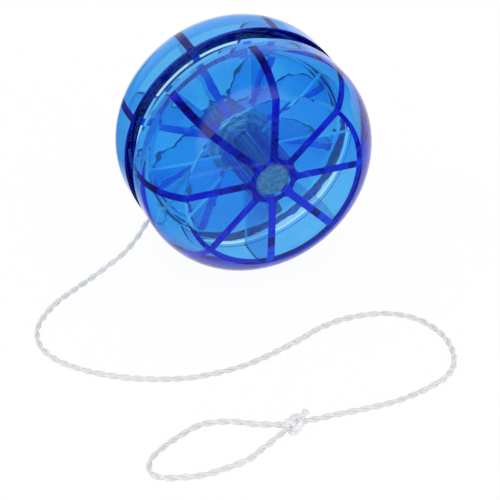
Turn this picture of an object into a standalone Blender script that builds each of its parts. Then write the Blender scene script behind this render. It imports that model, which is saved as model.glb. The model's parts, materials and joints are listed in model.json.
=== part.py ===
"""Clear blue plastic yo-yo: two hollow ribbed halves on a wooden axle, with a looped cotton string.

Metres, +Z up. The yo-yo stands on its two rims on the floor, z = 0, with its axle along Y and the
front half on the -Y side. Each half is a moulded cup, with ribs and a hub boss inside, closed by a
flat disc at the string gap. The axle is a wooden dowel held in both hubs. The string is wound round
the axle, leaves by the gap, lies on the floor and ends in a knotted finger loop.
"""
import math

import bmesh
import bpy
from mathutils import Vector

# Halves
RIM_RADIUS = 0.0285
HALF_DEPTH = 0.0161
STRING_GAP = 0.0050
SIDE_WALL = 0.0025
FACE_WALL = 0.0014
SHOULDER_WIDTH = 0.0065
SHOULDER_DEPTH = 0.0114
CREASE_SETBACK = 0.00105
RIM_ROUND = 0.0005

# Ribs and hub boss inside each half
RIB_COUNT = 8
RIB_THICKNESS = 0.00185
RIB_ROOT_FILLET = 0.0012
HUB_WALL = 0.0014
FRONT_RIB_TURN = math.radians(-1.3)
REAR_RIB_TURN = math.radians(-23.7)

# Inner discs and axle
DISC_THICKNESS = 0.0009
DISC_CLEARANCE = 0.0009
DISC_EDGE_BEVEL = 0.0003
AXLE_RADIUS = 0.0040
AXLE_END_CHAMFER = 0.0004
FIT = 0.0003

# String
STRING_DIAMETER = 0.0013
FLOOR_CLEARANCE = 0.00005
WOUND_TURNS = 2
WOUND_GAP = 0.00045
WOUND_EXIT = math.radians(140.0)

# Knot of the finger loop
KNOT_CENTRE = (-0.0171, -0.0688)
KNOT_LENGTH = 0.0048
KNOT_WIDTH = 0.0042
KNOT_HEIGHT = 0.0038
KNOT_TURN = math.radians(5.0)
TAIL_LENGTH = 0.0024
TAIL_DIRECTION = (0.80, 0.10, 0.59)

# Mesh fineness
TURN_SEGMENTS = 48
AXLE_SEGMENTS = 32
SHOULDER_SEGMENTS = 7
ROUND_SEGMENTS = 2
FILLET_SEGMENTS = 3
HUB_ARC_SEGMENTS = 3
SMOOTH_ANGLE = math.radians(25.0)
TURN_POINTS = 24
RUN_STEP = 3.0 * STRING_DIAMETER
FINGER_STEP = 2.5 * STRING_DIAMETER
CURVE_PIECES = 24
TAIL_PIECES = 2
TUBE_ROUND_SEGMENTS = 2
WOUND_ROUND_SEGMENTS = 1
KNOT_SEGMENTS = 16
KNOT_RINGS = 10

# The string in the gap, from the axle's centre (x along the floor, z up)
GAP_ROUTE = [(-0.0131, -0.0023), (-0.0188, -0.0091), (-0.0245, -0.0159)]

# The string as it comes down to the floor (x, y, height of its middle)
FALL_ROUTE = [
    (-0.0267, 0.0000, 0.0094),
    (-0.0295, 0.0000, 0.0062),
    (-0.0321, 0.0000, 0.0042),
    (-0.0349, 0.0000, 0.0026),
    (-0.0378, -0.0004, 0.0013),
]

# The string on the floor (x, y), up to the knot
FLOOR_ROUTE = [
    (-0.0412, -0.0017),
    (-0.0447, -0.0037),
    (-0.0492, -0.0063),
    (-0.0535, -0.0101),
    (-0.0567, -0.0146),
    (-0.0580, -0.0202),
    (-0.0568, -0.0257),
    (-0.0539, -0.0303),
    (-0.0501, -0.0343),
    (-0.0460, -0.0376),
    (-0.0408, -0.0407),
    (-0.0350, -0.0432),
    (-0.0285, -0.0448),
    (-0.0196, -0.0451),
    (-0.0118, -0.0437),
    (-0.0034, -0.0412),
    (0.0030, -0.0389),
    (0.0095, -0.0381),
    (0.0155, -0.0388),
    (0.0207, -0.0409),
    (0.0249, -0.0452),
    (0.0270, -0.0513),
    (0.0266, -0.0576),
    (0.0243, -0.0627),
    (0.0207, -0.0658),
    (0.0161, -0.0675),
    (0.0102, -0.0687),
    (0.0040, -0.0690),
    (-0.0035, -0.0684),
    (-0.0093, -0.0679),
]

# The finger loop on the floor (x, y), out from the knot and back to it
FINGER_ROUTE = [
    (-0.0242, -0.0641),
    (-0.0282, -0.0616),
    (-0.0319, -0.0603),
    (-0.0356, -0.0601),
    (-0.0401, -0.0616),
    (-0.0446, -0.0637),
    (-0.0481, -0.0661),
    (-0.0497, -0.0694),
    (-0.0484, -0.0722),
    (-0.0443, -0.0739),
    (-0.0400, -0.0749),
    (-0.0348, -0.0748),
    (-0.0294, -0.0740),
    (-0.0246, -0.0716),
]

MOUTH = STRING_GAP / 2
FACE = MOUTH + HALF_DEPTH
AXLE_HEIGHT = RIM_RADIUS * math.cos(math.pi / TURN_SEGMENTS)
STRING_HEIGHT = STRING_DIAMETER / 2 + FLOOR_CLEARANCE
BORE_RADIUS = AXLE_RADIUS + FIT
HUB_RADIUS = BORE_RADIUS + HUB_WALL
FACE_INSIDE = FACE - FACE_WALL
SIDE_INSIDE = RIM_RADIUS - SIDE_WALL
SIDE_END = FACE - SHOULDER_DEPTH
CREASE_RADIUS = RIM_RADIUS - SHOULDER_WIDTH
INNER_CREASE_RADIUS = CREASE_RADIUS - CREASE_SETBACK
SEAT_FLOOR = MOUTH + DISC_THICKNESS + FIT


def clear_scene():
    for item in list(bpy.data.objects):
        bpy.data.objects.remove(item, do_unlink=True)


def material(name, colour, roughness, transmission=0.0):
    finish = bpy.data.materials.new(name)
    finish.use_nodes = True
    finish.diffuse_color = (*colour, 1.0)
    shader = finish.node_tree.nodes["Principled BSDF"]
    shader.inputs["Base Color"].default_value = (*colour, 1.0)
    shader.inputs["Roughness"].default_value = roughness
    shader.inputs["Metallic"].default_value = 0.0
    shader.inputs["Transmission Weight"].default_value = transmission
    return finish


def place(name, data, finish, parent=None):
    item = bpy.data.objects.new(name, data)
    bpy.context.scene.collection.objects.link(item)
    if finish:
        data.materials.append(finish)
    item.parent = parent
    return item


def to_mesh(name, shape):
    bmesh.ops.recalc_face_normals(shape, faces=shape.faces)
    mesh = bpy.data.meshes.new(name)
    shape.to_mesh(mesh)
    shape.free()
    mesh.shade_smooth()
    mesh.set_sharp_from_angle(angle=SMOOTH_ANGLE)
    return mesh


def arc(centre, radii, start, end, segments):
    """Points of an arc or of a quarter of an ellipse, both ends included."""
    points = []
    for step in range(segments + 1):
        angle = start + (end - start) * step / segments
        points.append((centre[0] + radii[0] * math.cos(angle), centre[1] + radii[1] * math.sin(angle)))
    return points


def turned(name, profile, segments):
    """Closed solid turned about local Z from a profile of (radius, z) points, from axis to axis.

    A flat facet, not a corner, faces local -Y, so that the rim can stand on it.
    """
    shape = bmesh.new()
    rings = []
    for radius, height in profile:
        if radius == 0:
            rings.append([shape.verts.new((0, 0, height))] * segments)
            continue
        ring = []
        for step in range(segments):
            angle = math.tau * (step + 0.5) / segments - math.pi / 2
            ring.append(shape.verts.new((radius * math.cos(angle), radius * math.sin(angle), height)))
        rings.append(ring)
    for upper, lower in zip(rings, rings[1:]):
        for step in range(segments):
            after = (step + 1) % segments
            corners = [upper[step], upper[after], lower[after], lower[step]]
            shape.faces.new(dict.fromkeys(corners))
    return to_mesh(name, shape)


def extruded(name, outline, bottom, top):
    shape = bmesh.new()
    base = shape.faces.new([shape.verts.new((x, y, bottom)) for x, y in outline])
    raised = bmesh.ops.extrude_face_region(shape, geom=[base])
    corners = [part for part in raised["geom"] if isinstance(part, bmesh.types.BMVert)]
    bmesh.ops.translate(shape, verts=corners, vec=(0, 0, top - bottom))
    return to_mesh(name, shape)


def cut(target, cutter):
    cutter.hide_render = True
    cutter.display_type = "WIRE"
    boolean = target.modifiers.new(cutter.name, "BOOLEAN")
    boolean.operation = "DIFFERENCE"
    boolean.solver = "EXACT"
    boolean.object = cutter


def shoulder_arc(crease_radius, face, side_radius):
    """Arc from the crisp edge of a flat face that runs smoothly into the straight side."""
    width = side_radius - crease_radius
    depth = face - SIDE_END
    radius = (width ** 2 + depth ** 2) / (2 * width)
    centre = (side_radius - radius, SIDE_END)
    return arc(centre, (radius, radius), math.asin(depth / radius), 0, SHOULDER_SEGMENTS)


def cup_profile():
    """Outside of a cup, from the middle of its face round to the middle of its mouth."""
    rim = (RIM_RADIUS - RIM_ROUND, MOUTH + RIM_ROUND)
    return [
        (0, FACE),
        *shoulder_arc(CREASE_RADIUS, FACE, RIM_RADIUS),
        *arc(rim, (RIM_ROUND, RIM_ROUND), 0, -math.pi / 2, ROUND_SEGMENTS),
        (0, MOUTH),
    ]


def hollow_profile():
    """Inside of a cup without its ribs, running out past the mouth."""
    return [
        (0, FACE_INSIDE),
        *shoulder_arc(INNER_CREASE_RADIUS, FACE_INSIDE, SIDE_INSIDE),
        (SIDE_INSIDE, 0),
        (0, 0),
    ]


def web_outline(turn):
    """Plan of the ribs and the hub boss: straight ribs that join the boss in fillets."""
    reach = RIM_RADIUS - SIDE_WALL / 2
    half = RIB_THICKNESS / 2
    pitch = math.tau / RIB_COUNT
    fillet_orbit = HUB_RADIUS + RIB_ROOT_FILLET
    fillet_side = half + RIB_ROOT_FILLET
    lean = math.asin(fillet_side / fillet_orbit)
    fillet = (fillet_orbit * math.cos(lean), fillet_side)
    radii = (RIB_ROOT_FILLET, RIB_ROOT_FILLET)
    root = arc(fillet, radii, -math.pi / 2, lean - math.pi, FILLET_SEGMENTS)
    side = [(reach, half), *root]
    hub = arc((0, 0), (HUB_RADIUS, HUB_RADIUS), lean, pitch - lean, HUB_ARC_SEGMENTS)[1:-1]
    outline = []
    for rib in range(RIB_COUNT):
        next_side = [rotate(x, -y, pitch) for x, y in reversed(side)]
        for x, y in [*side, *hub, *next_side]:
            outline.append(rotate(x, y, turn + rib * pitch))
    return outline


def rotate(x, y, angle):
    return (x * math.cos(angle) - y * math.sin(angle), x * math.sin(angle) + y * math.cos(angle))


def make_half(side, rib_turn, flip, plastic, axis):
    """A cup and its inner disc, in the axis's frame, where local Z runs out of the front face."""
    cup = place(f"{side}_shell", turned(f"{side}_shell", cup_profile(), TURN_SEGMENTS), plastic, axis)
    hollow = place(f"{side}_hollow", turned(f"{side}_hollow", hollow_profile(), TURN_SEGMENTS), None, axis)
    web = extruded(f"{side}_web", web_outline(rib_turn), SEAT_FLOOR, FACE - FACE_WALL / 2)
    bore_profile = [(0, FACE_INSIDE), (BORE_RADIUS, FACE_INSIDE), (BORE_RADIUS, 0), (0, 0)]
    bore = place(f"{side}_bore", turned(f"{side}_bore", bore_profile, AXLE_SEGMENTS), None, axis)
    web_cutter = place(f"{side}_web", web, None, axis)
    cut(hollow, web_cutter)
    cut(cup, hollow)
    cut(cup, bore)

    disc = make_disc(f"{side}_inner_disc", plastic, axis)
    for item in (cup, hollow, web_cutter, bore, disc):
        item.rotation_euler.x = math.pi if flip else 0.0


def make_disc(name, plastic, axis):
    """Flat ring with eased edges on the ends of the ribs, level with the rim and clear of the wall."""
    outside = SIDE_INSIDE - DISC_CLEARANCE
    top = MOUTH + DISC_THICKNESS
    bevel = DISC_EDGE_BEVEL
    profile = [
        (0, top),
        (outside - bevel, top),
        (outside, top - bevel),
        (outside, MOUTH + bevel),
        (outside - bevel, MOUTH),
        (0, MOUTH),
    ]
    disc = place(name, turned(name, profile, TURN_SEGMENTS), plastic, axis)
    hole = [(0, FACE), (BORE_RADIUS, FACE), (BORE_RADIUS, 0), (0, 0)]
    hole_cutter = place(f"{name}_hole", turned(f"{name}_hole", hole, AXLE_SEGMENTS), None, disc)
    cut(disc, hole_cutter)
    return disc


def make_axle(wood, axis):
    """Dowel from hub to hub, its ends just short of the faces."""
    end = FACE_INSIDE - FIT
    neck = AXLE_RADIUS - AXLE_END_CHAMFER
    shoulder = end - AXLE_END_CHAMFER
    profile = [(0, end), (neck, end), (AXLE_RADIUS, shoulder)]
    profile += [(radius, -height) for radius, height in reversed(profile)]
    return place("axle_dowel", turned("axle_dowel", profile, AXLE_SEGMENTS), wood, axis)


def smooth_points(route, step):
    """Points at an even step along a smooth curve through the route's own points, kept above the floor."""
    ends = [2 * route[0] - route[1], *route, 2 * route[-1] - route[-2]]
    fine = []
    for before, start, end, after in zip(ends, ends[1:], ends[2:], ends[3:]):
        for piece in range(CURVE_PIECES):
            t = piece / CURVE_PIECES
            fine.append(0.5 * (
                2 * start
                + (end - before) * t
                + (2 * before - 5 * start + 4 * end - after) * t ** 2
                + (3 * start - 3 * end + after - before) * t ** 3
            ))
    fine.append(route[-1])
    for point in fine:
        point.z = max(point.z, STRING_HEIGHT)
    length = sum((b - a).length for a, b in zip(fine, fine[1:]))
    count = max(2, round(length / step))
    points = [fine[0]]
    travelled = 0.0
    for a, b in zip(fine, fine[1:]):
        travelled += (b - a).length
        if travelled >= len(points) * length / count and len(points) < count:
            points.append(b)
    points.append(fine[-1])
    return points


def tube(name, points, finish, roundness=TUBE_ROUND_SEGMENTS):
    curve = bpy.data.curves.new(name, "CURVE")
    curve.dimensions = "3D"
    curve.bevel_depth = STRING_DIAMETER / 2
    curve.bevel_resolution = roundness
    curve.use_fill_caps = True
    spline = curve.splines.new("POLY")
    spline.points.add(len(points) - 1)
    for slot, point in zip(spline.points, points):
        slot.co = (*point, 1.0)
    return place(name, curve, finish)


def wound_points(axle):
    """The string's turns round the axle: a flat spiral whose outer end runs on straight for one diameter."""
    pitch = STRING_DIAMETER + WOUND_GAP
    inmost = AXLE_RADIUS + FIT + STRING_DIAMETER / 2
    count = WOUND_TURNS * TURN_POINTS
    points = []
    for step in range(count + 1):
        turn = step / TURN_POINTS
        x, z = rotate(inmost + pitch * turn, 0, WOUND_EXIT + math.tau * (turn - WOUND_TURNS))
        points.append(axle + Vector((x, 0, z)))
    leaving = (points[-1] - points[-2]).normalized()
    points.append(points[-1] + leaving * STRING_DIAMETER)
    return points


def least_gap(points):
    """Least clear distance between stretches of the wound string that are half a turn or more apart."""
    apart = TURN_POINTS // 2
    pairs = [(a, b) for index, a in enumerate(points) for b in points[index + apart:]]
    return min((a - b).length for a, b in pairs) - STRING_DIAMETER


def make_string(cotton):
    """The string's stretches: turns round the axle, run, knot with its cut tail, and finger loop."""
    axle = Vector((0, 0, AXLE_HEIGHT))
    wound = wound_points(axle)
    tube("string_axle_loop", wound, cotton, WOUND_ROUND_SEGMENTS)
    print(f"least gap between the turns of string: {least_gap(wound) * 1000:.2f} mm")

    knot = Vector((*KNOT_CENTRE, KNOT_HEIGHT / 2 + FLOOR_CLEARANCE))
    along = Vector((math.cos(KNOT_TURN), math.sin(KNOT_TURN), 0))
    across = Vector((-along.y, along.x, 0))
    leaving = (wound[-1] - wound[-2]).normalized()
    run_end = knot + along * (KNOT_LENGTH / 2 + FIT)
    run = [
        wound[-1] + leaving * FIT,
        *[axle + Vector((x, 0, z)) for x, z in GAP_ROUTE],
        *[Vector(point) for point in FALL_ROUTE],
        *[Vector((x, y, STRING_HEIGHT)) for x, y in FLOOR_ROUTE],
        run_end,
    ]
    tube("string_run", smooth_points(run, RUN_STEP), cotton)

    shape = bmesh.new()
    bmesh.ops.create_uvsphere(shape, u_segments=KNOT_SEGMENTS, v_segments=KNOT_RINGS, radius=1)
    bmesh.ops.scale(shape, vec=(KNOT_LENGTH / 2, KNOT_WIDTH / 2, KNOT_HEIGHT / 2), verts=shape.verts)
    lump = place("finger_knot", to_mesh("finger_knot", shape), cotton)
    lump.location = knot
    lump.rotation_euler.z = KNOT_TURN

    way = Vector(TAIL_DIRECTION).normalized()
    shares = (way.dot(along) / KNOT_LENGTH, way.dot(across) / KNOT_WIDTH, way.z / KNOT_HEIGHT)
    reach = 1 / (2 * math.hypot(*shares)) + FIT
    tail = [knot + way * (reach + TAIL_LENGTH * piece / TAIL_PIECES) for piece in range(TAIL_PIECES + 1)]
    tube("knot_tail", tail, cotton)

    entry = -along * (KNOT_LENGTH / 2 + FIT)
    apart = across * (STRING_DIAMETER / 2 + FIT)
    finger = [
        knot + entry + apart,
        *[Vector((x, y, STRING_HEIGHT)) for x, y in FINGER_ROUTE],
        knot + entry - apart,
    ]
    tube("finger_loop", smooth_points(finger, FINGER_STEP), cotton)


def main():
    clear_scene()
    axis = bpy.data.objects.new("yoyo_axis", None)
    bpy.context.scene.collection.objects.link(axis)
    axis.location.z = AXLE_HEIGHT
    axis.rotation_euler.x = math.pi / 2

    plastic = material("clear_blue_plastic", (0.02, 0.20, 0.80), 0.05, transmission=1.0)
    wood = material("axle_wood", (0.62, 0.44, 0.26), 0.60)
    cotton = material("white_cotton", (0.86, 0.86, 0.85), 0.85)
    make_half("front", FRONT_RIB_TURN, False, plastic, axis)
    make_half("rear", REAR_RIB_TURN, True, plastic, axis)
    make_axle(wood, axis)
    make_string(cotton)


main()
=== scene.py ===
"""Looks of the clear blue yo-yo: smooth moulded halves, a wooden axle and a twisted white string."""
import json
import math

import bmesh
import bpy
import numpy as np
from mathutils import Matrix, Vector


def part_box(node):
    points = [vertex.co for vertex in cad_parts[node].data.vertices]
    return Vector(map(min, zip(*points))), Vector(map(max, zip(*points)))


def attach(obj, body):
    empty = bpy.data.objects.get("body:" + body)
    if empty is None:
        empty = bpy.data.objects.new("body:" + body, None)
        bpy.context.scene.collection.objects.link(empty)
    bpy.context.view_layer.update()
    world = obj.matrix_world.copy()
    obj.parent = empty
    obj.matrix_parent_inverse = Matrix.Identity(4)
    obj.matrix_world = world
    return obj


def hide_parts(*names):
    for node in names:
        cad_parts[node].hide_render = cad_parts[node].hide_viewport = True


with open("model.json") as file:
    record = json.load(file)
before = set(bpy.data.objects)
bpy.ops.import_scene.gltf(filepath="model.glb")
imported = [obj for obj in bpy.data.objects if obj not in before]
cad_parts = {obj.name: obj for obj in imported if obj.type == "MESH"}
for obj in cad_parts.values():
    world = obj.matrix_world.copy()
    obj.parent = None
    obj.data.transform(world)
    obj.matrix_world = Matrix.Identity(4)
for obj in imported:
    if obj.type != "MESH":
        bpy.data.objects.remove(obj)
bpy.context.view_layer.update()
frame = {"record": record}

# Sizes that the frame gives
spin = frame["record"]["behaviour"]["joints"][0]
AXLE_HEIGHT = spin["pos_m"][2]
FLOOR_CLEARANCE = 0.00001
RIM_RADIUS = AXLE_HEIGHT - FLOOR_CLEARANCE
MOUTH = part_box("rear_shell")[0].y
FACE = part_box("rear_shell")[1].y
DISC_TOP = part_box("rear_inner_disc")[1].y
DISC_RADIUS = (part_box("rear_inner_disc")[1].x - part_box("rear_inner_disc")[0].x) / 2
AXLE_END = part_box("axle_dowel")[1].y
AXLE_RADIUS = (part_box("axle_dowel")[1].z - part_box("axle_dowel")[0].z) / 2

# Moulding sizes
FIT = 0.0003
BORE_RADIUS = AXLE_RADIUS + FIT
FACE_INSIDE = AXLE_END + FIT
SIDE_WALL = 0.0025
SHOULDER_WIDTH = 0.0065
SHOULDER_DEPTH = 0.0114
CREASE_SETBACK = 0.00105
RIM_ROUND = 0.0005
EDGE_EASE = 0.0002
RIB_COUNT = 8
RIB_THICKNESS = 0.00185
RIB_ROOT_FILLET = 0.0012
HUB_WALL = 0.0014
FRONT_RIB_TURN = math.radians(-1.3)
REAR_RIB_TURN = math.radians(-23.7)
DISC_EDGE_ROUND = 0.0002
DISC_EDGE_CHAMFER = 0.0006
AXLE_END_CHAMFER = 0.0004
SHARP_EDGE = math.radians(20.0)
TURN_SEGMENTS = 192
AXLE_SEGMENTS = 96
SHOULDER_SEGMENTS = 32
ROUND_SEGMENTS = 8
DISC_EDGE_SEGMENTS = 5

# String sizes
STRING_DIAMETER = 0.0013
PLY_COUNT = 2
PLY_RADIUS = 0.00036
PLY_ORBIT = 0.00030
PLY_SIDES = 12
TWIST_PITCH = 0.0060
STRING_HEIGHT = 0.0007
STRING_STEP = 0.0004
STRING_LEAST_STEPS = 4
CURVE_STEPS = 40
MILLIMETRES = 1000
WOUND_LAYERS = 3.5
WOUND_LAYER_TURNS = 2.2
WOUND_LAYER_STEP = 0.00117
WOUND_HALF_WIDTH = 0.00160
WOUND_CLIMB = 0.15
WOUND_EXIT = math.radians(140.0)
WOUND_TURN_POINTS = 72
KNOT_CENTRE = np.array((-0.0171, -0.0688, 0.0020))
KNOT_TURN = math.radians(5.0)
KNOT_SIZE = 0.00050
KNOT_STRETCH = 1.2
KNOT_LIFT = 1.5
KNOT_FULLNESS = 1.55
KNOT_POINTS = 160
KNOT_ENTRY = 0.0014
KNOT_SPREAD = 0.0005
TAIL_DIRECTION = np.array((0.80, 0.10, 0.59))
TAIL_START = 0.0012
TAIL_END = 0.0040
TAIL_FULLNESS = 1.3

# Slow waves along the string: how much, over what length in metres, and from what phase
UNEVEN_LAY = ((0.35, 0.0210, 1.0), (0.25, 0.0093, 2.0))
UNEVEN_THICKNESS = ((0.06, 0.0071, 0.0), (0.04, 0.0031, 0.7))

# Photograph's viewpoint
CAMERA_PLACE = (-0.13914, -0.33621, 0.25204)
CAMERA_AZIMUTH = math.radians(-22.728)
CAMERA_ELEVATION = math.radians(34.935)
CAMERA_LENS = 131.06
CAMERA_SENSOR = 36.0

# Light of the studio; a fade is where a change starts and where it ends
FLOOR_SIZE = 6.0
FLOOR_GLOW = 0.95
ROOM_BRIGHT_WAY = (0.0, 0.8, -0.6)
ROOM_FADE = (-0.4, 0.5)
ROOM_LEVELS = (0.5, 1.0)
ROOM_FILL = 0.92
MIRROR_LEVEL = 0.12
MIRROR_FLOOR_LEFT = (-0.045, -0.02)
MIRROR_FLOOR_FRONT = (-0.09, 0.01)
MIRROR_BRIGHT_WAY = (0.2, 1.0, 0.2)
MIRROR_FADE = (0.55, 1.15)
WINDOW_WAY = (-0.12, -0.86, 0.49)
WINDOW_FADE = (0.77, 0.90)
WINDOW_LEVEL = 1.5
SOFTBOXES = (
    ("front_softbox", (0.05, -0.90, 0.55), (1.2, 0.8), 3.0),
    ("left_softbox", (-0.70, 0.10, 0.60), (0.4, 0.4), 0.8),
)
PATH_BOUNCES = 256

# Colours and finishes, painted shade and painted blue light among them
WHITE = (1.0, 1.0, 1.0)
FLOOR_COLOUR = (0.92, 0.92, 0.92)
FLOOR_ROUGHNESS = 0.9
PLASTIC_INDEX = 1.49
PLASTIC_TINT = (0.0, 0.700, 0.966)
PLASTIC_DENSITY = 560.0
# Painted shade: faces seen edge-on, away from the side wall, are coloured darker, the cups more than the
# discs
CUP_GRAZING_SHADE = (0.10, 0.32, 0.60)
DISC_GRAZING_SHADE = (0.60, 0.80, 1.0)
GRAZING_FADE = (0.5, 0.8)
GRAZING_REACH = (0.0230, 0.0255)
# Painted dark shade on the faces at the gap's mouth, only where they are seen directly
GAP_SHADE = (0.02, 0.05, 0.14)
GAP_SHADE_DEPTH = (0.0001, 0.0005)
SMEAR_SCALE = 120.0
SMEAR_RANGE = (0.45, 0.75)
SMEAR_ROUGHNESS = (0.0, 0.02)
WAVE_SCALE = 220.0
WAVE_DETAIL = 1.0
CUP_WAVES = 0.00001
DISC_WAVES = 0.0004
FIBRE_ROUGHNESS = 0.85
FIBRE_SHINE = 0.2
FIBRE_DETAIL = 4
FIBRE_RANGE = (0.32, 0.64)
# Painted blue light and shade: the axle's grain tones are made bluish and dark for the light that reaches
# it through the plastic, over the wood's own grain
WOOD_DARK_STREAK_BLUE_LIT = (0.14, 0.18, 0.30)
WOOD_LIGHT_STREAK_BLUE_LIT = (0.25, 0.32, 0.48)
WOOD_STRETCH = (1, 1, 0.1)
WOOD_SCALE = 1500
WOOD_RELIEF = 0.0001
COTTON_DARK = (0.81, 0.82, 0.84)
COTTON_LIGHT = (0.94, 0.94, 0.94)
COTTON_STRETCH = (1, 14, 1)
COTTON_SCALE = 3
COTTON_RELIEF = 0.00006

# The string's route as the solids have it: in the gap from the axle's centre, down to the floor, along it
GAP_ROUTE = [(-0.0131, -0.0023), (-0.0188, -0.0091), (-0.0245, -0.0159)]
FALL_ROUTE = [
    (-0.0267, 0.0000, 0.0094),
    (-0.0295, 0.0000, 0.0062),
    (-0.0321, 0.0000, 0.0042),
    (-0.0349, 0.0000, 0.0026),
    (-0.0378, -0.0004, 0.0013),
]
FLOOR_ROUTE = [
    (-0.0412, -0.0017),
    (-0.0447, -0.0037),
    (-0.0492, -0.0063),
    (-0.0535, -0.0101),
    (-0.0567, -0.0146),
    (-0.0580, -0.0202),
    (-0.0568, -0.0257),
    (-0.0539, -0.0303),
    (-0.0501, -0.0343),
    (-0.0460, -0.0376),
    (-0.0408, -0.0407),
    (-0.0350, -0.0432),
    (-0.0285, -0.0448),
    (-0.0196, -0.0451),
    (-0.0118, -0.0437),
    (-0.0034, -0.0412),
    (0.0030, -0.0389),
    (0.0095, -0.0381),
    (0.0155, -0.0388),
    (0.0207, -0.0409),
    (0.0249, -0.0452),
    (0.0270, -0.0513),
    (0.0266, -0.0576),
    (0.0243, -0.0627),
    (0.0207, -0.0658),
    (0.0161, -0.0675),
    (0.0102, -0.0687),
    (0.0040, -0.0690),
    (-0.0035, -0.0684),
    (-0.0093, -0.0679),
]
FINGER_ROUTE = [
    (-0.0242, -0.0641),
    (-0.0282, -0.0616),
    (-0.0319, -0.0603),
    (-0.0356, -0.0601),
    (-0.0401, -0.0616),
    (-0.0446, -0.0637),
    (-0.0481, -0.0661),
    (-0.0497, -0.0694),
    (-0.0484, -0.0722),
    (-0.0443, -0.0739),
    (-0.0400, -0.0749),
    (-0.0348, -0.0748),
    (-0.0294, -0.0740),
    (-0.0246, -0.0716),
]


def camera():
    data = bpy.data.cameras.new("camera")
    data.lens = CAMERA_LENS
    data.sensor_width = CAMERA_SENSOR
    item = bpy.data.objects.new("camera", data)
    bpy.context.scene.collection.objects.link(item)
    item.location = CAMERA_PLACE
    item.rotation_euler = (math.pi / 2 - CAMERA_ELEVATION, 0, CAMERA_AZIMUTH)
    bpy.context.scene.camera = item


def new_finish(name):
    finish = bpy.data.materials.new(name)
    finish.use_nodes = True
    return finish, finish.node_tree.nodes, finish.node_tree.links


def maths(tree, operation, first, second=0.0):
    """Math node whose inputs are sockets or plain numbers; gives its output."""
    node = tree.nodes.new("ShaderNodeMath")
    node.operation = operation
    for slot, value in zip(node.inputs, (first, second)):
        if isinstance(value, (int, float)):
            slot.default_value = value
        else:
            tree.links.new(value, slot)
    return node.outputs[0]


def remap(tree, value, source, target):
    """Smooth Map Range node from one pair of numbers to another; gives its output."""
    node = tree.nodes.new("ShaderNodeMapRange")
    node.interpolation_type = "SMOOTHSTEP"
    tree.links.new(value, node.inputs["Value"])
    node.inputs["From Min"].default_value, node.inputs["From Max"].default_value = source
    node.inputs["To Min"].default_value, node.inputs["To Max"].default_value = target
    return node.outputs["Result"]


def choose(tree, share, first, second):
    """Value that goes from the first to the second as the share goes from 0 to 1."""
    node = tree.nodes.new("ShaderNodeMix")
    tree.links.new(share, node.inputs["Factor"])
    for name, value in (("A", first), ("B", second)):
        if isinstance(value, (int, float)):
            node.inputs[name].default_value = value
        else:
            tree.links.new(value, node.inputs[name])
    return node.outputs["Result"]


def tinted(tree, share, first, second):
    """Colour that goes from the first to the second as the share goes from 0 to 1."""
    node = tree.nodes.new("ShaderNodeMix")
    node.data_type = "RGBA"
    tree.links.new(share, node.inputs["Factor"])
    for name, value in (("A", first), ("B", second)):
        if isinstance(value, tuple):
            node.inputs[name].default_value = (*value, 1)
        else:
            tree.links.new(value, node.inputs[name])
    return node.outputs["Result"]


def mirrored(tree, sight):
    """1 for what is mirrored in a polished skin, 0 for what is seen straight or through clear plastic."""
    return maths(tree, "SUBTRACT", sight.outputs["Is Glossy Ray"], sight.outputs["Is Transmission Ray"])


def white_floor():
    """Floor seen as nearly white with a soft shadow, and mirrored white behind, dim in front and left."""
    finish, nodes, links = new_finish("white_floor")
    finish.cycles.emission_sampling = "NONE"
    tree = finish.node_tree
    shader = nodes["Principled BSDF"]
    shader.inputs["Base Color"].default_value = (*FLOOR_COLOUR, 1)
    shader.inputs["Roughness"].default_value = FLOOR_ROUGHNESS
    shader.inputs["Specular IOR Level"].default_value = 0.0
    sight = nodes.new("ShaderNodeLightPath")
    seen = maths(tree, "MAXIMUM", sight.outputs["Is Camera Ray"], sight.outputs["Is Glossy Ray"])
    glow = nodes.new("ShaderNodeEmission")
    spot = nodes.new("ShaderNodeNewGeometry")
    split = nodes.new("ShaderNodeSeparateXYZ")
    links.new(spot.outputs["Position"], split.inputs["Vector"])
    right = remap(tree, split.outputs["X"], MIRROR_FLOOR_LEFT, (0.0, 1.0))
    behind = remap(tree, split.outputs["Y"], MIRROR_FLOOR_FRONT, (0.0, 1.0))
    lit = maths(tree, "MAXIMUM", maths(tree, "MULTIPLY", right, behind), MIRROR_LEVEL)
    links.new(choose(tree, mirrored(tree, sight), 1.0, lit), glow.inputs["Strength"])
    mix = nodes.new("ShaderNodeMixShader")
    links.new(maths(tree, "MULTIPLY", seen, FLOOR_GLOW), mix.inputs["Fac"])
    links.new(shader.outputs["BSDF"], mix.inputs[1])
    links.new(glow.outputs["Emission"], mix.inputs[2])
    links.new(mix.outputs["Shader"], nodes["Material Output"].inputs["Surface"])
    bpy.ops.mesh.primitive_plane_add(size=FLOOR_SIZE)
    floor = bpy.context.object
    floor.name = "floor"
    floor.data.materials.append(finish)


def lean(tree, way):
    """How far a sight line leans towards a direction: its cosine."""
    sight = tree.nodes.new("ShaderNodeTexCoord")
    node = tree.nodes.new("ShaderNodeVectorMath")
    node.operation = "DOT_PRODUCT"
    tree.links.new(sight.outputs["Generated"], node.inputs[0])
    node.inputs[1].default_value = Vector(way).normalized()
    return node.outputs["Value"]


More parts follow.
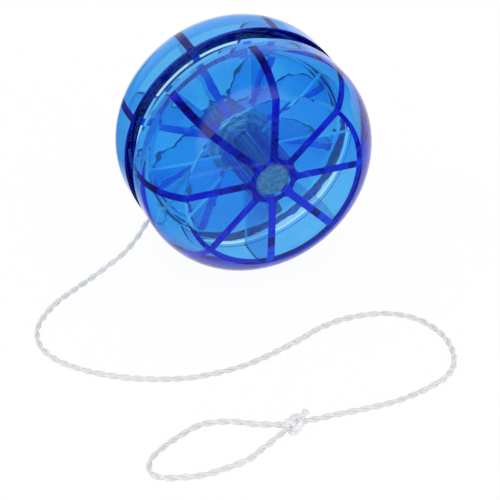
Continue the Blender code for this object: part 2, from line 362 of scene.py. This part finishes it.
def pale_room():
    """Room that is white behind the object and dimmer overhead, with a soft window mirrored in front."""
    world = bpy.data.worlds.new("pale_room")
    bpy.context.scene.world = world
    world.use_nodes = True
    world.cycles.sampling_method = "NONE"
    tree = world.node_tree
    sight = tree.nodes.new("ShaderNodeLightPath")
    room = remap(tree, lean(tree, ROOM_BRIGHT_WAY), ROOM_FADE, ROOM_LEVELS)
    window = remap(tree, lean(tree, WINDOW_WAY), WINDOW_FADE, (MIRROR_LEVEL, WINDOW_LEVEL))
    behind = remap(tree, lean(tree, MIRROR_BRIGHT_WAY), MIRROR_FADE, (MIRROR_LEVEL, 1.0))
    surroundings = choose(tree, mirrored(tree, sight), room, maths(tree, "MAXIMUM", window, behind))
    matt = maths(tree, "MINIMUM", sight.outputs["Diffuse Depth"], 1.0)
    fill = maths(tree, "MULTIPLY", matt, ROOM_FILL)
    lit = maths(tree, "MAXIMUM", surroundings, fill)
    level = maths(tree, "MAXIMUM", lit, sight.outputs["Is Camera Ray"])
    tree.links.new(level, tree.nodes["Background"].inputs["Strength"])
    tree.nodes["Background"].inputs["Color"].default_value = (*WHITE, 1)


def softboxes():
    for name, stand, size, power in SOFTBOXES:
        data = bpy.data.lights.new(name, "AREA")
        data.shape = "RECTANGLE"
        data.size, data.size_y = size
        data.energy = power
        lamp = bpy.data.objects.new(name, data)
        bpy.context.scene.collection.objects.link(lamp)
        lamp.location = stand
        lamp.visible_glossy = False
        aim = Vector((0, 0, AXLE_HEIGHT)) - lamp.location
        lamp.rotation_euler = aim.to_track_quat("-Z", "Y").to_euler()


def render_paths():
    """Enough bounces, left sharp and unclamped, for light that runs along inside the clear walls."""
    cycles = bpy.context.scene.cycles
    cycles.max_bounces = PATH_BOUNCES
    cycles.transmission_bounces = PATH_BOUNCES
    cycles.glossy_bounces = PATH_BOUNCES
    cycles.blur_glossy = 0.0
    cycles.sample_clamp_indirect = 0.0
    bpy.context.scene.view_settings.view_transform = "Standard"


def fibre_grain():
    """Node group: streaks between two colours, and their height, for wood and cotton."""
    group = bpy.data.node_groups.new("fibre_grain", "ShaderNodeTree")
    for name, kind in (
        ("Vector", "NodeSocketVector"),
        ("Scale", "NodeSocketFloat"),
        ("Dark", "NodeSocketColor"),
        ("Light", "NodeSocketColor"),
    ):
        group.interface.new_socket(name, in_out="INPUT", socket_type=kind)
    group.interface.new_socket("Color", in_out="OUTPUT", socket_type="NodeSocketColor")
    group.interface.new_socket("Height", in_out="OUTPUT", socket_type="NodeSocketFloat")
    inlet = group.nodes.new("NodeGroupInput")
    outlet = group.nodes.new("NodeGroupOutput")
    streaks = group.nodes.new("ShaderNodeTexNoise")
    streaks.inputs["Detail"].default_value = FIBRE_DETAIL
    group.links.new(inlet.outputs["Vector"], streaks.inputs["Vector"])
    group.links.new(inlet.outputs["Scale"], streaks.inputs["Scale"])
    share = remap(group, streaks.outputs["Fac"], FIBRE_RANGE, (0.0, 1.0))
    blend = tinted(group, share, inlet.outputs["Dark"], inlet.outputs["Light"])
    group.links.new(blend, outlet.inputs["Color"])
    group.links.new(share, outlet.inputs["Height"])
    return group


def clear_blue_plastic(name, waves, grazing_shade):
    """Clear tinted moulding with painted shade: darker on the ribs' sides and other faces seen edge-on,
    and dark on the gap's mouth seen directly; smeared and wavy.
    """
    finish, nodes, links = new_finish(name)
    tree = finish.node_tree
    shader = nodes["Principled BSDF"]
    shader.inputs["Transmission Weight"].default_value = 1.0
    shader.inputs["IOR"].default_value = PLASTIC_INDEX
    spot = nodes.new("ShaderNodeTexCoord")
    split = nodes.new("ShaderNodeSeparateXYZ")
    links.new(spot.outputs["Object"], split.inputs["Vector"])
    x, y, height = split.outputs
    # Painted shade: faces seen edge-on, away from the side wall, get a darker colour
    square = maths(tree, "ADD", maths(tree, "POWER", x, 2), maths(tree, "POWER", y, 2))
    inside = remap(tree, maths(tree, "SQRT", square), GRAZING_REACH, (1.0, 0.0))
    skin = nodes.new("ShaderNodeLayerWeight")
    grazing = remap(tree, skin.outputs["Facing"], GRAZING_FADE, (0.0, 1.0))
    depth = tinted(tree, maths(tree, "MULTIPLY", grazing, inside), WHITE, grazing_shade)
    # Painted dark shade on the faces at the gap's mouth, only where they are seen directly
    sight = nodes.new("ShaderNodeLightPath")
    mouth = remap(tree, height, [MOUTH + step for step in GAP_SHADE_DEPTH], (1.0, 0.0))
    shade = maths(tree, "MULTIPLY", mouth, sight.outputs["Is Camera Ray"])
    links.new(tinted(tree, shade, depth, GAP_SHADE), shader.inputs["Base Color"])
    smears = nodes.new("ShaderNodeTexNoise")
    smears.inputs["Scale"].default_value = SMEAR_SCALE
    links.new(spot.outputs["Object"], smears.inputs["Vector"])
    dullness = remap(tree, smears.outputs["Fac"], SMEAR_RANGE, SMEAR_ROUGHNESS)
    links.new(dullness, shader.inputs["Roughness"])
    flow = nodes.new("ShaderNodeTexNoise")
    flow.inputs["Scale"].default_value = WAVE_SCALE
    flow.inputs["Detail"].default_value = WAVE_DETAIL
    links.new(spot.outputs["Object"], flow.inputs["Vector"])
    bump = nodes.new("ShaderNodeBump")
    bump.inputs["Distance"].default_value = waves
    links.new(flow.outputs["Fac"], bump.inputs["Height"])
    links.new(bump.outputs["Normal"], shader.inputs["Normal"])
    tint = nodes.new("ShaderNodeVolumeAbsorption")
    tint.inputs["Color"].default_value = (*PLASTIC_TINT, 1)
    tint.inputs["Density"].default_value = PLASTIC_DENSITY
    links.new(tint.outputs["Volume"], nodes["Material Output"].inputs["Volume"])
    return finish


def fibrous(name, grain, coordinates, stretch, scale, dark, light, relief):
    """Matt fibrous finish whose streaks follow the given coordinates."""
    finish, nodes, links = new_finish(name)
    shader = nodes["Principled BSDF"]
    shader.inputs["Roughness"].default_value = FIBRE_ROUGHNESS
    shader.inputs["Specular IOR Level"].default_value = FIBRE_SHINE
    spot = nodes.new("ShaderNodeTexCoord")
    lay = nodes.new("ShaderNodeMapping")
    lay.inputs["Scale"].default_value = stretch
    links.new(spot.outputs[coordinates], lay.inputs["Vector"])
    streaks = nodes.new("ShaderNodeGroup")
    streaks.node_tree = grain
    streaks.inputs["Scale"].default_value = scale
    streaks.inputs["Dark"].default_value = (*dark, 1)
    streaks.inputs["Light"].default_value = (*light, 1)
    links.new(lay.outputs["Vector"], streaks.inputs["Vector"])
    links.new(streaks.outputs["Color"], shader.inputs["Base Color"])
    bump = nodes.new("ShaderNodeBump")
    bump.inputs["Distance"].default_value = relief
    links.new(streaks.outputs["Height"], bump.inputs["Height"])
    links.new(bump.outputs["Normal"], shader.inputs["Normal"])
    return finish


def place(name, mesh, finish=None):
    item = bpy.data.objects.new(name, mesh)
    bpy.context.scene.collection.objects.link(item)
    if finish:
        mesh.materials.append(finish)
    return item


def to_mesh(name, shape):
    bmesh.ops.recalc_face_normals(shape, faces=shape.faces)
    mesh = bpy.data.meshes.new(name)
    shape.to_mesh(mesh)
    shape.free()
    return mesh


def stands_for(item, body, node):
    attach(item, body)
    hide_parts(node)


def arc(centre, radius, start, end, segments):
    points = []
    for step in range(segments + 1):
        angle = start + (end - start) * step / segments
        points.append((centre[0] + radius * math.cos(angle), centre[1] + radius * math.sin(angle)))
    return points


def circle_of(shape, radius, height, segments):
    angles = [math.tau * step / segments for step in range(segments)]
    return [shape.verts.new((radius * math.cos(a), radius * math.sin(a), height)) for a in angles]


def turned(name, profile, segments, closed=False):
    """Solid turned about local Z from (radius, z) points, from axis to axis or as a closed ring."""
    shape = bmesh.new()
    rings = []
    for radius, height in profile:
        if radius == 0:
            rings.append([shape.verts.new((0, 0, height))] * segments)
        else:
            rings.append(circle_of(shape, radius, height, segments))
    following = rings[1:] + rings[:1] if closed else rings[1:]
    for upper, lower in zip(rings, following):
        for step in range(segments):
            after = (step + 1) % segments
            shape.faces.new(dict.fromkeys([upper[step], upper[after], lower[after], lower[step]]))
    return to_mesh(name, shape)


def rotate(x, y, angle):
    return (x * math.cos(angle) - y * math.sin(angle), x * math.sin(angle) + y * math.cos(angle))


def web_outline(turn):
    """Plan of the ribs and the hub boss, with fillets where they meet."""
    hub_radius = BORE_RADIUS + HUB_WALL
    reach = RIM_RADIUS - SIDE_WALL / 2
    half = RIB_THICKNESS / 2
    pitch = math.tau / RIB_COUNT
    fillet_orbit = hub_radius + RIB_ROOT_FILLET
    fillet_side = half + RIB_ROOT_FILLET
    fillet_angle = math.asin(fillet_side / fillet_orbit)
    fillet = (fillet_orbit * math.cos(fillet_angle), fillet_side)
    root = arc(fillet, RIB_ROOT_FILLET, -math.pi / 2, fillet_angle - math.pi, ROUND_SEGMENTS)
    side = [(reach, half), *root]
    hub = arc((0, 0), hub_radius, fillet_angle, pitch - fillet_angle, ROUND_SEGMENTS)[1:-1]
    outline = []
    for rib in range(RIB_COUNT):
        next_side = [rotate(x, -y, pitch) for x, y in reversed(side)]
        outline += [rotate(x, y, turn + rib * pitch) for x, y in [*side, *hub, *next_side]]
    return outline


def extruded(name, outline, bottom, top):
    shape = bmesh.new()
    base = shape.faces.new([shape.verts.new((x, y, bottom)) for x, y in outline])
    raised = bmesh.ops.extrude_face_region(shape, geom=[base])
    corners = [part for part in raised["geom"] if isinstance(part, bmesh.types.BMVert)]
    bmesh.ops.translate(shape, verts=corners, vec=(0, 0, top - bottom))
    return to_mesh(name, shape)


def cut_away(target, cutter):
    """Takes the cutter out of the target for good and removes the cutter."""
    boolean = target.modifiers.new("cut", "BOOLEAN")
    boolean.object = cutter
    boolean.solver = "EXACT"
    graph = bpy.context.evaluated_depsgraph_get()
    result = bpy.data.meshes.new_from_object(target.evaluated_get(graph))
    target.modifiers.clear()
    target.data = result
    bpy.data.objects.remove(cutter, do_unlink=True)


def lay_on_axle(item, flip):
    """Turns a piece's local Z out of the front face, or out of the rear one."""
    item.location.z = AXLE_HEIGHT
    item.rotation_euler.x = math.pi / 2 + (math.pi if flip else 0)


def soften(item):
    item.data.shade_smooth()
    item.data.set_sharp_from_angle(angle=SHARP_EDGE)
    weighted = item.modifiers.new("even_normals", "WEIGHTED_NORMAL")
    weighted.keep_sharp = True


def shoulder_arc(crease_radius, face, side_radius):
    """Arc from the crisp edge of a flat face that runs smoothly into the straight side."""
    side_end = FACE - SHOULDER_DEPTH
    width = side_radius - crease_radius
    depth = face - side_end
    radius = (width ** 2 + depth ** 2) / (2 * width)
    centre = (side_radius - radius, side_end)
    return arc(centre, radius, math.asin(depth / radius), 0, SHOULDER_SEGMENTS)


def moulded_cup(side, rib_turn, flip, plastic):
    """Cup with a flat face, a curved shoulder and a straight side; ribs and a hub boss inside."""
    crease = RIM_RADIUS - SHOULDER_WIDTH
    inner_crease = crease - CREASE_SETBACK
    side_inside = RIM_RADIUS - SIDE_WALL
    side_end = FACE - SHOULDER_DEPTH
    rim = (RIM_RADIUS - RIM_ROUND, MOUTH + RIM_ROUND)
    outside = [
        (0, FACE),
        (crease - EDGE_EASE, FACE),
        *shoulder_arc(crease, FACE, RIM_RADIUS),
        (RIM_RADIUS, side_end - EDGE_EASE),
        (RIM_RADIUS, rim[1] + EDGE_EASE),
        *arc(rim, RIM_ROUND, 0, -math.pi / 2, ROUND_SEGMENTS),
        (rim[0] - EDGE_EASE, MOUTH),
        (0, MOUTH),
    ]
    inside = [
        (0, FACE_INSIDE),
        (inner_crease - EDGE_EASE, FACE_INSIDE),
        *shoulder_arc(inner_crease, FACE_INSIDE, side_inside),
        (side_inside, side_end - EDGE_EASE),
        (side_inside, 0),
        (0, 0),
    ]
    bore = [(0, FACE_INSIDE), (BORE_RADIUS, FACE_INSIDE), (BORE_RADIUS, 0), (0, 0)]
    cup = place(f"{side}_cup", turned(f"{side}_cup", outside, TURN_SEGMENTS), plastic)
    hollow = place("hollow", turned("hollow", inside, TURN_SEGMENTS))
    web = extruded("web", web_outline(rib_turn), DISC_TOP + FIT, (FACE + FACE_INSIDE) / 2)
    cut_away(hollow, place("web", web))
    cut_away(cup, hollow)
    cut_away(cup, place("bore", turned("bore", bore, AXLE_SEGMENTS)))
    soften(cup)
    lay_on_axle(cup, flip)
    stands_for(cup, "yoyo", f"{side}_shell")


def gap_disc(side, flip, plastic):
    """Flat ring on the ends of the ribs, chamfered towards them and rounded towards the gap."""
    edge = (DISC_RADIUS - DISC_EDGE_ROUND, MOUTH + DISC_EDGE_ROUND)
    profile = [
        (BORE_RADIUS, DISC_TOP),
        (DISC_RADIUS - DISC_EDGE_CHAMFER, DISC_TOP),
        (DISC_RADIUS, DISC_TOP - DISC_EDGE_CHAMFER),
        *arc(edge, DISC_EDGE_ROUND, 0, -math.pi / 2, DISC_EDGE_SEGMENTS),
        (BORE_RADIUS, MOUTH),
    ]
    name = f"{side}_gap_disc"
    disc = place(name, turned(name, profile, TURN_SEGMENTS, closed=True), plastic)
    soften(disc)
    lay_on_axle(disc, flip)
    stands_for(disc, "yoyo", f"{side}_inner_disc")


def dowel(wood):
    profile = [
        (0, AXLE_END),
        (AXLE_RADIUS - AXLE_END_CHAMFER, AXLE_END),
        (AXLE_RADIUS, AXLE_END - AXLE_END_CHAMFER),
    ]
    profile += [(radius, -height) for radius, height in reversed(profile)]
    item = place("wooden_axle", turned("wooden_axle", profile, AXLE_SEGMENTS), wood)
    soften(item)
    lay_on_axle(item, False)
    stands_for(item, "yoyo", "axle_dowel")


def smooth_path(route):
    """Points at an even step on a smooth curve through the route's points, kept above the floor."""
    route = np.array(route)
    ends = np.vstack([2 * route[0] - route[1], route, 2 * route[-1] - route[-2]])
    t = np.linspace(0, 1, CURVE_STEPS, endpoint=False)[:, None]
    fine = []
    for before, start, end, after in zip(ends, ends[1:], ends[2:], ends[3:]):
        fine.append(0.5 * (
            2 * start
            + (end - before) * t
            + (2 * before - 5 * start + 4 * end - after) * t ** 2
            + (3 * start - 3 * end + after - before) * t ** 3
        ))
    fine = np.vstack([*fine, route[-1:]])
    fine[:, 2] = np.maximum(fine[:, 2], STRING_HEIGHT)
    return resample(fine, STRING_STEP)


def travel(path):
    """Distance along the path at each of its points."""
    return np.concatenate([[0], np.cumsum(np.linalg.norm(np.diff(path, axis=0), axis=1))])


def resample(fine, step):
    """The same path with its points at an even step."""
    reach = travel(fine)
    steps = max(STRING_LEAST_STEPS, round(reach[-1] / step))
    stations = np.linspace(0, reach[-1], steps + 1)
    return np.stack([np.interp(stations, reach, fine[:, k]) for k in range(3)], axis=1)


def carried_frames(path):
    """Side and up directions at each point, carried along the path with no twist of their own."""
    along = np.gradient(path, axis=0)
    along /= np.linalg.norm(along, axis=1, keepdims=True)
    side = np.cross(along[0], (0.0, 0.0, 1.0))
    sides = []
    for direction in along:
        side = side - direction * side.dot(direction)
        side = side / np.linalg.norm(side)
        sides.append(side)
    sides = np.array(sides)
    return sides, np.cross(along, sides)


def add_tube(shape, lay, centres, side, up, radii):
    """Tube whose map runs in millimetres along it and from 0 to 1 round it."""
    angles = [math.tau * k / PLY_SIDES for k in range(PLY_SIDES)]
    rings = []
    for centre, sideways, upwards, radius in zip(centres, side, up, radii):
        spokes = [math.cos(a) * sideways + math.sin(a) * upwards for a in angles]
        rings.append([shape.verts.new(centre + radius * spoke) for spoke in spokes])
    stations = travel(centres) * MILLIMETRES
    for first, second, start, end in zip(rings, rings[1:], stations, stations[1:]):
        for k in range(PLY_SIDES):
            after = (k + 1) % PLY_SIDES
            face = shape.faces.new([first[k], first[after], second[after], second[k]])
            face.smooth = True
            corners = [(start, k), (start, k + 1), (end, k + 1), (end, k)]
            for loop, (u, v) in zip(face.loops, corners):
                loop[lay].uv = (u, v / PLY_SIDES)
    shape.faces.new(list(reversed(rings[0])))
    shape.faces.new(rings[-1])


def slow_waves(reach, waves):
    return sum(amount * np.sin(reach / length + phase) for amount, length, phase in waves)


def twisted_string(name, path, cotton, fullness=1.0):
    """Two plies laid round each other along the path, with slight unevenness in lay and thickness."""
    side, up = carried_frames(path)
    reach = travel(path)
    turn = math.tau * reach / TWIST_PITCH + slow_waves(reach, UNEVEN_LAY)
    swell = 1 + slow_waves(reach, UNEVEN_THICKNESS)
    shape = bmesh.new()
    lay = shape.loops.layers.uv.new("lay")
    for ply in range(PLY_COUNT):
        angle = turn + math.tau / PLY_COUNT * ply
        offset = np.cos(angle)[:, None] * side + np.sin(angle)[:, None] * up
        centres = path + fullness * PLY_ORBIT * offset
        add_tube(shape, lay, centres, *carried_frames(centres), fullness * PLY_RADIUS * swell)
    return place(name, to_mesh(name, shape), cotton)


def wound_path():
    """The string's turns round the axle, in layers to and fro across the gap that end in its middle."""
    count = round(WOUND_LAYERS * WOUND_LAYER_TURNS * WOUND_TURN_POINTS)
    layer, share = np.divmod(np.linspace(0, WOUND_LAYERS, count), 1)
    climb = np.clip((share - 1 + WOUND_CLIMB) / WOUND_CLIMB, 0, 1)
    radius = AXLE_RADIUS + FIT + STRING_DIAMETER / 2 + WOUND_LAYER_STEP * (layer + climb)
    angle = WOUND_EXIT + math.tau * WOUND_LAYER_TURNS * (layer + share - WOUND_LAYERS)
    across = WOUND_HALF_WIDTH * (2 * share - 1) * (-1) ** layer
    return np.stack([radius * np.cos(angle), across, AXLE_HEIGHT + radius * np.sin(angle)], axis=1)


def finger_knot(cotton):
    """Overhand knot drawn tight, and its short cut tail."""
    t = np.linspace(0, math.tau, KNOT_POINTS)
    x = KNOT_SIZE * KNOT_STRETCH * (np.sin(t) + 2 * np.sin(2 * t))
    y = KNOT_SIZE * (np.cos(t) - 2 * np.cos(2 * t))
    z = KNOT_SIZE * KNOT_LIFT * -np.sin(3 * t)
    x, y = rotate(x, y, KNOT_TURN)
    turns = KNOT_CENTRE + np.stack([x, y, z], axis=1)
    knot = twisted_string("finger_knot_turns", turns, cotton, KNOT_FULLNESS)
    stands_for(knot, "string", "finger_knot")
    way = TAIL_DIRECTION / np.linalg.norm(TAIL_DIRECTION)
    ends = np.array([KNOT_CENTRE + way * TAIL_START, KNOT_CENTRE + way * TAIL_END])
    tail = twisted_string("knot_cut_tail", resample(ends, STRING_STEP), cotton, TAIL_FULLNESS)
    stands_for(tail, "string", "knot_tail")
    return knot, tail


def string(cotton):
    axle = np.array((0, 0, AXLE_HEIGHT))
    wound = wound_path()
    along = np.array((math.cos(KNOT_TURN), math.sin(KNOT_TURN), 0))
    across = np.array((-along[1], along[0], 0))
    run_path = smooth_path([
        wound[-1],
        *[axle + np.array((x, 0, z)) for x, z in GAP_ROUTE],
        *[np.array(point) for point in FALL_ROUTE],
        *[np.array((x, y, STRING_HEIGHT)) for x, y in FLOOR_ROUTE],
        KNOT_CENTRE + along * KNOT_ENTRY,
    ])
    finger_path = smooth_path([
        KNOT_CENTRE - along * KNOT_ENTRY + across * KNOT_SPREAD,
        *[np.array((x, y, STRING_HEIGHT)) for x, y in FINGER_ROUTE],
        KNOT_CENTRE - along * KNOT_ENTRY - across * KNOT_SPREAD,
    ])
    run = twisted_string("twisted_run", run_path, cotton)
    stands_for(run, "string", "string_run")
    finger = twisted_string("twisted_finger_loop", finger_path, cotton)
    stands_for(finger, "string", "finger_loop")
    turns = twisted_string("string_wound_on_axle", resample(wound, STRING_STEP), cotton)
    stands_for(turns, "string", "string_axle_loop")
    knot, tail = finger_knot(cotton)


camera()
white_floor()
pale_room()
softboxes()
render_paths()
# Both plastics carry painted shade on faces seen edge-on and on the gap's mouth seen directly
polished = clear_blue_plastic("clear_blue_plastic", CUP_WAVES, CUP_GRAZING_SHADE)
wavy = clear_blue_plastic("clear_blue_plastic_wavy", DISC_WAVES, DISC_GRAZING_SHADE)
grain = fibre_grain()
# Wood grain whose tones carry painted blue light and shade from the plastic round the axle
wood = fibrous("axle_wood", grain, "Object", WOOD_STRETCH, WOOD_SCALE, WOOD_DARK_STREAK_BLUE_LIT, WOOD_LIGHT_STREAK_BLUE_LIT, WOOD_RELIEF)
cotton = fibrous(
    "white_cotton", grain, "UV", COTTON_STRETCH, COTTON_SCALE, COTTON_DARK, COTTON_LIGHT, COTTON_RELIEF,
)
moulded_cup("front", FRONT_RIB_TURN, False, polished)
moulded_cup("rear", REAR_RIB_TURN, True, polished)
gap_disc("front", False, wavy)
gap_disc("rear", True, wavy)
dowel(wood)
string(cotton)
